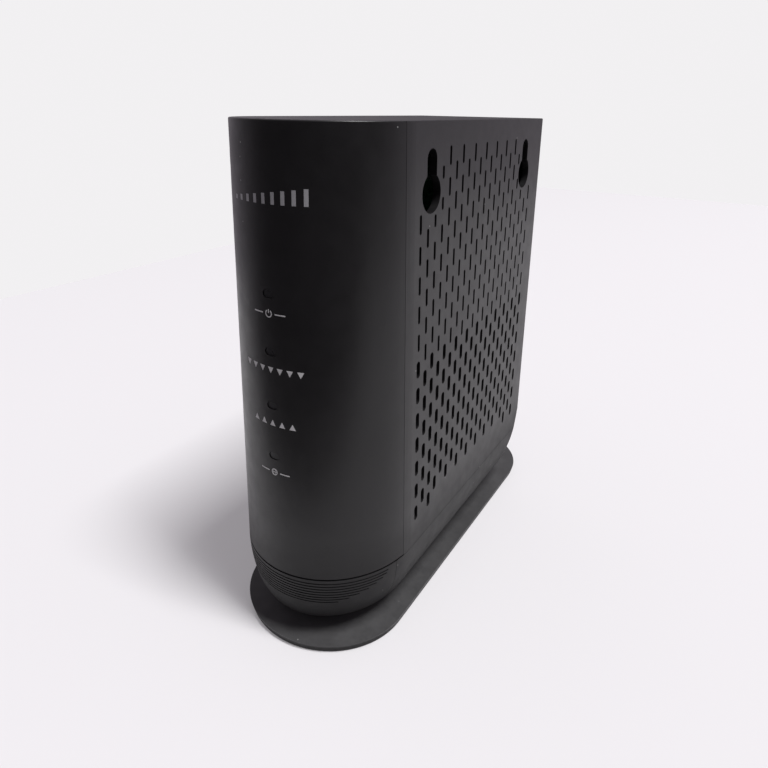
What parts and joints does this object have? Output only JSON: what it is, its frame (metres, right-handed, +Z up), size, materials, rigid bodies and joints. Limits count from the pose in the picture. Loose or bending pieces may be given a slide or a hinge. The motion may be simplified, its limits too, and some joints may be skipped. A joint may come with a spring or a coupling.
{
  "type": "cable modem",
  "caption": "Upright matte black cable modem on an oval foot, with slotted vented sides, wall keyholes, four front lights, coaxial, network and power sockets.",
  "frame": {"origin": "centre of the footprint, at the height of the surface that the rubber pads stand on", "axes": "+Z up, -Y out of the front with the lights, +Y out of the rear with the sockets, +X out of the side with the wall keyholes"},
  "size_m": [0.0556, 0.1484, 0.1493],
  "materials": {
    "shell": "fine matte moulded texture",
    "foot": "satin moulded plastic",
    "panel": "fine matte moulded texture",
    "lens": "smoked clear plastic",
    "rubber": "soft matte rubber",
    "screw_steel": "zinc plated",
    "label": "blank satin film",
    "circuit_board": "green solder mask",
    "chip": "matte moulded epoxy",
    "thermal_pad": "soft silicone pad",
    "heatsink": "extruded and brushed",
    "shield": "tin plated sheet",
    "ferrite": "sintered ferrite",
    "can": "drawn can",
    "jack": "black moulded plastic",
    "gold": "gold plated",
    "nickel": "nickel plated",
    "insulator": "white plastic",
    "button": "red moulded plastic",
    "led": "clear resin"
  },
  "bodies": {
    "housing": {"front_panel": "shell", "chin_panel": "shell", "lower_hull": "shell", "right_cover": "shell", "left_cover": "shell", "top_cover": "shell", "bottom_tray": "shell", "foot": "foot", "rear_panel": "panel", "light_pipe": "lens", "foot_pad_1": "rubber", "foot_pad_2": "rubber", "foot_pad_3": "rubber", "foot_pad_4": "rubber", "foot_screws": "screw_steel", "rear_screws": "screw_steel", "board_screws": "screw_steel", "rating_label": "label", "main_board": "circuit_board", "light_board": "circuit_board", "main_processor": "chip", "memory_chip_1": "chip", "memory_chip_2": "chip", "flash_chip": "chip", "jack_transformer_1": "chip", "jack_transformer_2": "chip", "reset_switch": "chip", "light_board_header": "chip", "thermal_pad": "thermal_pad", "heatsink": "heatsink", "clock_crystal": "shield", "tuner_shield": "shield", "power_inductor_1": "ferrite", "power_inductor_2": "ferrite", "capacitor_1": "can", "capacitor_2": "can", "capacitor_3": "can", "ethernet_jack_1": "jack", "ethernet_jack_2": "jack", "ethernet_contacts_1": "gold", "ethernet_contacts_2": "gold", "coax_connector": "nickel", "coax_nut": "nickel", "coax_washer": "nickel", "coax_insulator": "insulator", "coax_contact": "gold", "power_jack": "jack", "power_jack_pin": "nickel", "indicator_led_1": "led", "indicator_led_2": "led", "indicator_led_3": "led", "indicator_led_4": "led"},
    "reset": {"reset_button": "button", "reset_plunger": "button"}
  },
  "joints": [
    {"name": "reset_press", "type": "slide", "parent": "housing", "child": "reset", "axis": [0, -1, 0], "range_m": [0, 0.0005], "stiffness_N_per_m": 800, "springref_m": -0.0005}
  ]
}
